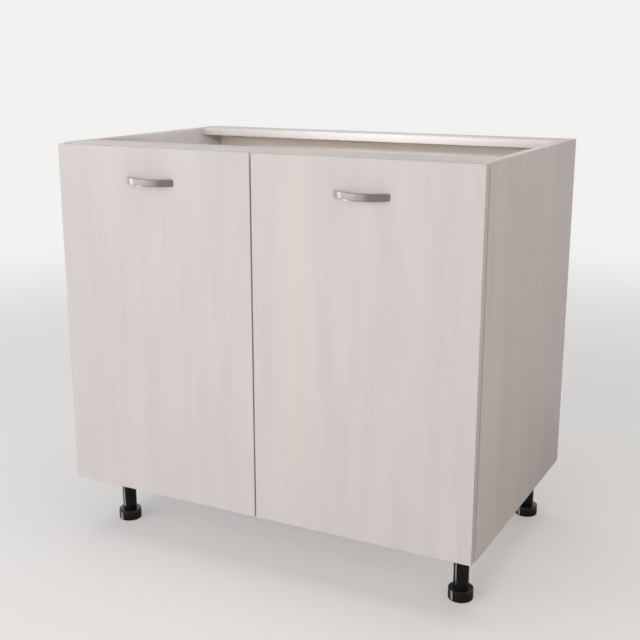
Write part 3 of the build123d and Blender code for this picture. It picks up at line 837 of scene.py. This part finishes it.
class CABINET_OT_handles(bpy.types.Operator):
    """Finish the bow handles, which shade smoothly round their soft corners"""

    bl_idname = "cabinet.add_handles"
    bl_label = "Add handles"

    def execute(self, context):
        for side in SIDES:
            node = f"handle_{side}"
            bow = clean_copy(node, f"bow_{side}")
            smooth(bow, degrees=30)
            dress(bow, "satin chrome", "handle_chrome", node)
        return {"FINISHED"}


class CABINET_OT_legs(bpy.types.Operator):
    """Turn the feet with their threaded spindles, and finish the columns and sockets"""

    bl_idname = "cabinet.add_legs"
    bl_label = "Add legs"

    def execute(self, context):
        sizes = context.scene.cabinet_sizes
        places = [f"{row}_{side}" for row in ROWS for side in SIDES]
        low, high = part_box(f"leg_foot_{places[0]}")
        pattern = turned_foot((high.x - low.x) / 2, high.z, sizes)
        for place in places:
            low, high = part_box(f"leg_foot_{place}")
            middle = (low + high) / 2
            foot = copy_of(pattern, f"foot_{place}", Matrix.Translation((middle.x, middle.y, 0)))
            dress(foot, "black plastic", "black_plastic", f"leg_foot_{place}")
            for part in ("leg_column", "leg_socket"):
                piece = clean_copy(f"{part}_{place}", f"{part.removeprefix('leg_')}_{place}")
                round_edges(piece, sizes.plastic_edge)
                smooth(piece, degrees=40)
                dress(piece, "black plastic", "black_plastic", f"{part}_{place}")
        bpy.data.objects.remove(pattern)
        return {"FINISHED"}


def turned_foot(radius, height, sizes):
    """A round foot with soft edges, a groove in its sole and a threaded spindle."""
    disc_height, edge, groove, tip_bevel = 0.023, 0.0018, 0.0008, 0.001
    groove_floor, groove_rim = 0.0075, 0.0085
    ring_start, ring_inside, ring_outside = 0.0004, 0.0030, 0.0034
    thread_start, thread_stop = disc_height + 0.001, height - 0.002
    core = sizes.spindle_radius - sizes.thread_depth
    stations = [(groove_floor, groove), (groove_rim, 0), (radius - edge, 0)]
    stations += [(radius - edge * (1 - math.sin(angle)), edge * (1 - math.cos(angle)))
                 for angle in map(math.radians, (30, 60, 90))]
    stations += [(radius - edge * (1 - math.cos(angle)), disc_height - edge * (1 - math.sin(angle)))
                 for angle in map(math.radians, (0, 30, 60, 90))]
    # A shallow ring is sunk round the spindle's root
    stations += [(core + ring_outside, disc_height), (core + ring_inside, disc_height - groove),
                 (core + ring_start, disc_height - groove), (core, disc_height),
                 (core, height - tip_bevel), (core - tip_bevel, height)]
    foot = turned("foot", stations, sizes.turning_steps)
    join("foot", foot, spindle_thread(core, thread_start, thread_stop, sizes))
    smooth(foot, degrees=32)
    return foot


def spindle_thread(core, bottom, top, sizes):
    """A helical ridge round the spindle, swept from its small profile by a Screw modifier."""
    turns = int((top - bottom) / sizes.thread_pitch)
    steps_per_turn, sunk = 40, 0.0003
    half_foot = sizes.thread_pitch * 0.30
    half_crest = half_foot * 0.35
    root, crest = core - sunk, core + sizes.thread_depth
    bpy.ops.object.select_all(action="DESELECT")
    bpy.ops.mesh.primitive_plane_add(size=1.0, location=(0, 0, 0))
    thread = bpy.context.active_object
    corners = ((root, -half_foot), (crest, -half_crest), (root, half_foot), (crest, half_crest))
    for vertex, (radius, height) in zip(thread.data.vertices, corners):
        vertex.co = (radius, 0, bottom + half_foot + height)
    edit(thread)
    bpy.ops.mesh.delete(type="ONLY_FACE")
    leave_edit()
    apply_modifier(thread, "SCREW", axis="Z", angle=2 * math.pi, screw_offset=sizes.thread_pitch,
                   iterations=turns, steps=steps_per_turn, render_steps=steps_per_turn)
    edit(thread)
    bpy.ops.mesh.fill_holes(sides=4)
    leave_edit()
    settle("thread")
    recalculate(thread)
    return thread


# Profiles of domes, from the rim to the top, as shares of the radius and of the height
SCREW_DOME = ((1, 0), (1, 0.25), (0.93, 0.62), (0.72, 0.88), (0.40, 1))
PAD_DOME = ((1, 0), (1, 0.35), (0.94, 0.68), (0.78, 0.9), (0.5, 1))

# How high the screws' heads stand
WOOD_SCREW_HEAD, CUP_SCREW_HEAD, HANDLE_SCREW_HEAD = 0.0016, 0.0014, 0.0022


def cross_screw(head_radius, head_height, length):
    """One screw with a domed head and a cross recess. Its seat is at the origin and it points down."""
    shank_radius, tip_radius = head_radius * 0.48, 0.0002
    recess_floor, above_head = head_height * 0.35, head_height * 2
    shank = [(tip_radius, -length), (shank_radius * 0.7, -length + shank_radius),
             (shank_radius, -length + 2 * shank_radius), (shank_radius, 0)]
    screw = turned("screw", shank + dome(head_radius, head_height, SCREW_DOME), steps=32)
    cut_cross(screw, (0, 0), recess_floor, above_head, head_radius * 0.52, head_radius * 0.11)
    smooth(screw)
    return screw


def place_screws(node, name, head_height, outwards):
    """Put a cross-head screw in place of each solid of a CAD node, with each size modelled once.

    Its head faces the way that outwards gives for the solid's middle.
    """
    patterns, pieces = {}, []
    for low, high in solids_of(node):
        middle = (low + high) / 2
        direction = Vector(outwards(middle))
        axis = max(range(3), key=lambda index: abs(direction[index]))
        across = 1 if axis == 0 else 0
        head_radius = (high[across] - low[across]) / 2
        length = (high - low)[axis] - head_height
        size = (round(head_radius, 5), round(length, 5))
        if size not in patterns:
            patterns[size] = cross_screw(head_radius, head_height, length)
        seat = middle + direction * ((high - low)[axis] / 2 - head_height)
        turn = Vector((0, 0, 1)).rotation_difference(direction).to_matrix().to_4x4()
        pieces.append(copy_of(patterns[size], f"{name}_{len(pieces)}", Matrix.Translation(seat) @ turn))
    for pattern in patterns.values():
        bpy.data.objects.remove(pattern)
    dress(join(name, *pieces), "zinc plate", "zinc_screws", node)


class CABINET_OT_screws(bpy.types.Operator):
    """Add the cross-head screws of the legs, hinges and handles"""

    bl_idname = "cabinet.add_screws"
    bl_label = "Add screws"

    def execute(self, context):
        place_screws("leg_socket_screws", "socket_screws", WOOD_SCREW_HEAD, lambda middle: (0, 0, -1))
        place_screws("hinge_screws", "plate_and_arm_screws", WOOD_SCREW_HEAD,
                     lambda middle: (-math.copysign(1, middle.x), 0, 0))
        for side in SIDES:
            for node, name, head_height in (("cup_screws", "hinge_cup_screws", CUP_SCREW_HEAD),
                                            ("handle_screws", "bow_screws", HANDLE_SCREW_HEAD)):
                place_screws(f"{node}_{side}", f"{name}_{side}", head_height, lambda middle: (0, 1, 0))
        return {"FINISHED"}


class CABINET_OT_hinges(bpy.types.Operator):
    """Finish the concealed hinges: cups, links, arms and mounting plates"""

    bl_idname = "cabinet.add_hinges"
    bl_label = "Add hinges"

    def execute(self, context):
        sizes = context.scene.cabinet_sizes
        for level in LEVELS:
            for side in SIDES:
                for part in ("hinge_cup", "hinge_arm", "hinge_plate", "outer_link", "inner_link"):
                    node = f"{part}_{level}_{side}"
                    piece = clean_copy(node, f"{part.replace('hinge_', '')}_{level}_{side}_metal")
                    round_edges(piece, sizes.metal_edge)
                    smooth(piece, degrees=40)
                    dress(piece, "nickel plate", "nickel", node)
        return {"FINISHED"}


class CABINET_OT_fittings(bpy.types.Operator):
    """Finish the hidden dowels, cams, bolts and nails, and the soft door bumpers"""

    bl_idname = "cabinet.add_fittings"
    bl_label = "Add fittings"

    def execute(self, context):
        dress_node("dowels", "beech wood")
        dress_node("cam_bolts", "zinc plate")
        dress_node("back_panel_nails", "zinc plate")
        add_cams()
        add_bumpers()
        return {"FINISHED"}


def add_cams():
    """Cam fittings with a cross recess in the face that shows, which is their lower one."""
    recess_depth, clearance = 0.003, 0.001
    half_length, half_width = 0.0042, 0.0009
    cams = clean_copy("cams", "cam_discs")
    for low, high in solids_of("cams"):
        centre = ((low.x + high.x) / 2, (low.y + high.y) / 2)
        cut_cross(cams, centre, low.z - clearance, low.z + recess_depth, half_length, half_width)
    smooth(cams)
    dress(cams, "zinc plate", "zinc_fittings", "cams")


def add_bumpers():
    """Two low domes of soft plastic on the back of each door, turned once and copied."""
    low, high = solids_of("door_bumpers_left")[0]
    pattern = turned("pad", dome((high.x - low.x) / 2, high.y - low.y, PAD_DOME), steps=40)
    pattern.data.transform(Matrix.Rotation(-QUARTER_TURN, 4, "X"))
    smooth(pattern, degrees=40)
    for side in SIDES:
        node = f"door_bumpers_{side}"
        pads = []
        for low, high in solids_of(node):
            seat = ((low.x + high.x) / 2, low.y, (low.z + high.z) / 2)
            pads.append(copy_of(pattern, f"pad_{side}_{len(pads)}", Matrix.Translation(seat)))
        dress(join(f"bumper_pads_{side}", *pads), "bumper pad", "clear_rubber", node)
    bpy.data.objects.remove(pattern)


WHITE, WARM = (1.0, 1.0, 1.0), (1.0, 0.76, 0.62)

# Each lamp's place, the point that it faces, its two sides and its tint
LAMPS = {
    "key": ((-2.3, -3.0, 1.75), (0, 0, 0.5), (2.2, 2.2), WHITE),
    "fill": ((2.8, -1.4, 1.2), (0, 0, 0.45), (1.6, 1.6), WARM),
    "front": ((-0.5, -4.6, 1.35), (0, 0, 0.7), (2.6, 0.9), WHITE),
    "top": ((0, 0.2, 3.4), (0, 0.2, 0), (3.2, 3.2), WHITE),
    "inside": ((0.05, -0.13, 0.955), (0.03, 0.28, 0.80), (0.46, 0.05), WHITE),
}

# Each card's first and last direction in degrees, its lowest and highest places, its distance and
# its brightness
CARDS = {
    "low_card": (-180, 180, -1.3, 0.0, 4.35, 0.75),
    "ground_card": (-180, 180, -5.0, -1.3, 4.35, 0.14),
    "pale_shade_card": (-112, -12, -1.3, 2.2, 4.33, 0.72),
    "half_shade_card": (-91, -12, -1.3, 2.2, 4.30, 0.48),
    "shade_card": (-77, -14, -1.3, 2.2, 4.20, 0.32),
    "handle_glint_card": (-180, -166, 0.0, 1.6, 4.20, 1.8),
    "leg_glint_card": (-166, -144, -3.4, -1.2, 4.10, 6.0),
}


class CABINET_OT_studio(bpy.types.Operator):
    """Set up the pale round studio, its soft lamps and the camera"""

    bl_idname = "cabinet.set_up_studio"
    bl_label = "Set up studio"

    def execute(self, context):
        studio = context.scene.cabinet_studio
        add_cove(studio)
        for name, (first, last, low, high, distance, brightness) in CARDS.items():
            add_card(name, (first, last), (low, high), distance, brightness)
        for name, (place, target, sides, tint) in LAMPS.items():
            add_lamp(name, place, target, sides, getattr(studio, f"{name}_power"), tint)
        add_world(studio)
        add_camera(studio)
        context.scene.view_settings.view_transform = "Standard"
        return {"FINISHED"}


def add_cove(studio):
    """A floor that sweeps up into a round wall, plain from every side.

    Mirrors look through the floor as far as the sweep, so that metal and plastic show the cards
    below it.
    """
    near_radius, floor_radius, sweep, wall_top = 4.45, 4.5, 1.5, 5.0
    steps = 96
    material = backdrop_material(studio)
    floor = new_ring("studio_floor", near_radius, 0, steps, "NGON")
    bpy.ops.mesh.inset(thickness=0.01)
    leave_edit()
    floor.visible_glossy = False

    cove = new_ring("studio_cove", near_radius, 0, steps, "NOTHING")
    curve = [(floor_radius + sweep * math.sin(angle), sweep * (1 - math.cos(angle)))
             for angle in map(math.radians, range(0, 100, 10))]
    extrude_rings([(near_radius, 0), *curve, (floor_radius + sweep, wall_top)])
    bpy.ops.mesh.select_all(action="SELECT")
    bpy.ops.mesh.normals_make_consistent(inside=True)
    leave_edit()
    smooth(cove, degrees=60)
    for piece in (floor, cove):
        piece.data.materials.append(material)


def backdrop_material(studio):
    """Pale matt floor that takes shadows and turns white with the distance."""
    white_from, white_at, near_glow = 0.9, 3.9, 0.34
    constants = {"Specular IOR Level": 0.15, "Roughness": 0.85}
    material, tree, shader, coordinates = new_material("pale floor", constants)
    place = coordinates["Object"]
    cloud = noise(tree, place, (0.8, 0.8, 0.8))
    pale, duller = colour(studio.floor_colour), colour(studio.floor_colour, 0.985)
    wire(tree, blend_colours(tree, cloud, pale, duller), shader["Base Color"])
    away = add_node(tree, "ShaderNodeVectorMath", {0: place}, operation="LENGTH").outputs["Value"]
    rays = tree.nodes.new("ShaderNodeLightPath").outputs
    reflected = calculate(tree, "MAXIMUM", rays["Is Glossy Ray"], rays["Is Transmission Ray"])
    looked_at = calculate(tree, "MAXIMUM", rays["Is Camera Ray"], reflected)
    whiteness = times(tree, spread_range(tree, away, white_from, white_at, near_glow), looked_at)
    white = {"Color": colour(studio.backdrop_colour), "Strength": 1.0}
    glow = add_node(tree, "ShaderNodeEmission", white)
    surface = next(node for node in tree.nodes if node.type == "OUTPUT_MATERIAL").inputs["Surface"]
    layers = {0: whiteness, 1: surface.links[0].from_socket, 2: glow.outputs[0]}
    wire(tree, add_node(tree, "ShaderNodeMixShader", layers).outputs[0], surface)
    return material


def add_card(name, directions, heights, distance, brightness):
    """A curved card that only mirrors see, which gives polished metal and plastic their contrast."""
    low, high = heights
    bpy.ops.object.select_all(action="DESELECT")
    bpy.ops.mesh.primitive_cylinder_add(vertices=180, radius=distance, depth=high - low,
                                        end_fill_type="NOTHING", location=(0, 0, (low + high) / 2))
    card = settle(name)
    edit(card)
    bpy.ops.mesh.select_mode(type="FACE")
    bpy.ops.mesh.select_all(action="DESELECT")
    leave_edit()
    for face in card.data.polygons:
        direction = math.degrees(math.atan2(face.center.y, face.center.x))
        face.select = not directions[0] <= direction <= directions[1]
    bpy.ops.object.mode_set(mode="EDIT")
    bpy.ops.mesh.delete(type="FACE")
    leave_edit()
    constants = {"Base Color": (0, 0, 0, 1), "Specular IOR Level": 0.0, "Emission Strength": 1.0}
    material, tree, shader, coordinates = new_material(name, constants)
    glow = (brightness, brightness * 0.94, brightness * 0.92)
    grade = noise(tree, coordinates["Object"], (0.3, 0.3, 0.3), detail=1.0)
    wire(tree, blend_colours(tree, grade, colour(glow), colour(glow, 0.9)), shader["Emission Color"])
    card.data.materials.append(material)
    for ray in ("camera", "diffuse", "shadow", "transmission"):
        setattr(card, f"visible_{ray}", False)


def add_lamp(name, place, target, sides, power, tint):
    """A rectangular soft lamp that faces a point."""
    bpy.ops.object.light_add(type="AREA", location=place)
    lamp = bpy.context.active_object
    lamp.name = name
    lamp.data.shape = "RECTANGLE"
    lamp.data.size, lamp.data.size_y = sides
    lamp.data.energy = power
    lamp.data.color = tint
    lamp.rotation_euler = (Vector(target) - Vector(place)).to_track_quat("-Z", "Y").to_euler()
    lamp.visible_camera = False
    lamp.visible_glossy = False


def add_world(studio):
    """Even light from all round."""
    world = bpy.data.worlds.new("studio sky")
    bpy.context.scene.world = world
    world.use_nodes = True
    background = world.node_tree.nodes["Background"]
    background.inputs["Color"].default_value = (1.0, 0.99, 0.98, 1.0)
    background.inputs["Strength"].default_value = studio.sky_strength


def add_camera(studio):
    """The camera at the photograph's viewing angle."""
    bpy.ops.object.camera_add(location=studio.camera_place)
    camera = bpy.context.active_object
    camera.name = "camera"
    camera.rotation_euler = (QUARTER_TURN - studio.camera_pitch, 0, studio.camera_azimuth)
    camera.data.sensor_width = 36.0
    camera.data.lens = studio.camera_lens
    camera.data.clip_end = 60.0
    bpy.context.scene.camera = camera


# ---------------------------------------- panel and registration

SETTINGS = {
    "cabinet_finish": CabinetFinish,
    "cabinet_sizes": CabinetSizes,
    "cabinet_studio": CabinetStudio,
}

STEPS = (
    CABINET_OT_materials,
    CABINET_OT_boards,
    CABINET_OT_handles,
    CABINET_OT_legs,
    CABINET_OT_screws,
    CABINET_OT_hinges,
    CABINET_OT_fittings,
    CABINET_OT_studio,
)


class CABINET_PT_sidebar(bpy.types.Panel):
    """Lists the cabinet's settings and steps"""

    bl_label = "Sink Base Cabinet"
    bl_idname = "CABINET_PT_sidebar"
    bl_space_type = "VIEW_3D"
    bl_region_type = "UI"
    bl_category = "Cabinet"

    def draw(self, context):
        for name, group in SETTINGS.items():
            box = self.layout.box()
            box.label(text=name.removeprefix("cabinet_").title())
            for setting in group.__annotations__:
                box.prop(getattr(context.scene, name), setting)
        for step in STEPS:
            self.layout.operator(step.bl_idname)


CLASSES = (*SETTINGS.values(), *STEPS, CABINET_PT_sidebar)


def register():
    """Register the classes and hang the settings on the scene."""
    for each in CLASSES:
        bpy.utils.register_class(each)
    for name, group in SETTINGS.items():
        setattr(bpy.types.Scene, name, PointerProperty(type=group))


def unregister():
    """Take the settings and the classes away again."""
    for name in SETTINGS:
        delattr(bpy.types.Scene, name)
    for each in reversed(CLASSES):
        bpy.utils.unregister_class(each)


def main():
    """Dress the whole cabinet and set up the studio."""
    register()
    bpy.ops.cabinet.build_materials()
    bpy.ops.cabinet.dress_boards()
    bpy.ops.cabinet.add_handles()
    bpy.ops.cabinet.add_legs()
    bpy.ops.cabinet.add_screws()
    bpy.ops.cabinet.add_hinges()
    bpy.ops.cabinet.add_fittings()
    bpy.ops.cabinet.set_up_studio()


if __name__ == "__main__":
    main()
